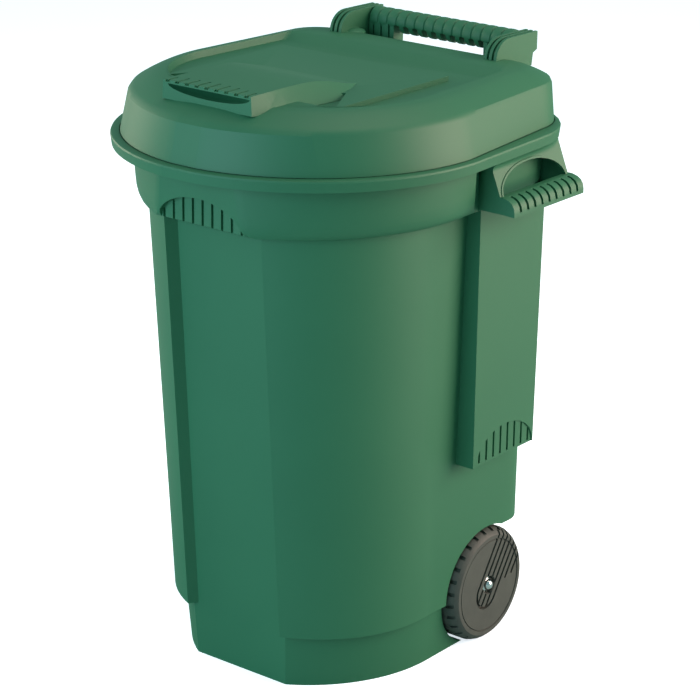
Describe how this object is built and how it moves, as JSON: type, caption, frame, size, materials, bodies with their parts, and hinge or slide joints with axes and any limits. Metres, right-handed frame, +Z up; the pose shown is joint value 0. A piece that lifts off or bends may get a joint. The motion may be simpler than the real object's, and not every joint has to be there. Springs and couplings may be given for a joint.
{
  "type": "wheelie bin",
  "caption": "Wheeled waste bin with a tapered tub, a hinged domed lid with a lifting grip, a rear push bar, ribbed side handles and wheels on a steel axle.",
  "frame": {"origin": "on the floor, under the centre of the overall box", "axes": "+Z up, front (lifting grip) faces -Y, +X to the right seen from the front"},
  "size_m": [0.55, 0.56, 0.81],
  "materials": {
    "green_plastic": "satin moulded polypropylene",
    "wheel_plastic": "matt moulded plastic",
    "steel": "drawn zinc-plated steel",
    "cap_steel": "bright plated steel"
  },
  "bodies": {
    "tub": {"tub": "green_plastic", "rear_handle": "green_plastic", "side_handle_right": "green_plastic", "side_handle_left": "green_plastic", "axle": "steel", "axle_washer_right": "steel", "axle_washer_left": "steel", "axle_cap_right": "cap_steel", "axle_cap_left": "cap_steel"},
    "lid": {"lid": "green_plastic", "hinge_arm_right": "green_plastic", "hinge_arm_left": "green_plastic"},
    "wheel_right": {"wheel_right": "wheel_plastic"},
    "wheel_left": {"wheel_left": "wheel_plastic"}
  },
  "joints": [
    {"name": "lid_hinge", "type": "hinge", "parent": "tub", "child": "lid", "pos_m": [0, 0.261, 0.7935], "axis": [-1, 0, 0], "range_deg": [0, 265]},
    {"name": "wheel_right_spin", "type": "hinge", "parent": "tub", "child": "wheel_right", "pos_m": [0.179, 0.123, 0.08], "axis": [1, 0, 0], "continuous": true},
    {"name": "wheel_left_spin", "type": "hinge", "parent": "tub", "child": "wheel_left", "pos_m": [-0.179, 0.123, 0.08], "axis": [1, 0, 0], "continuous": true}
  ]
}
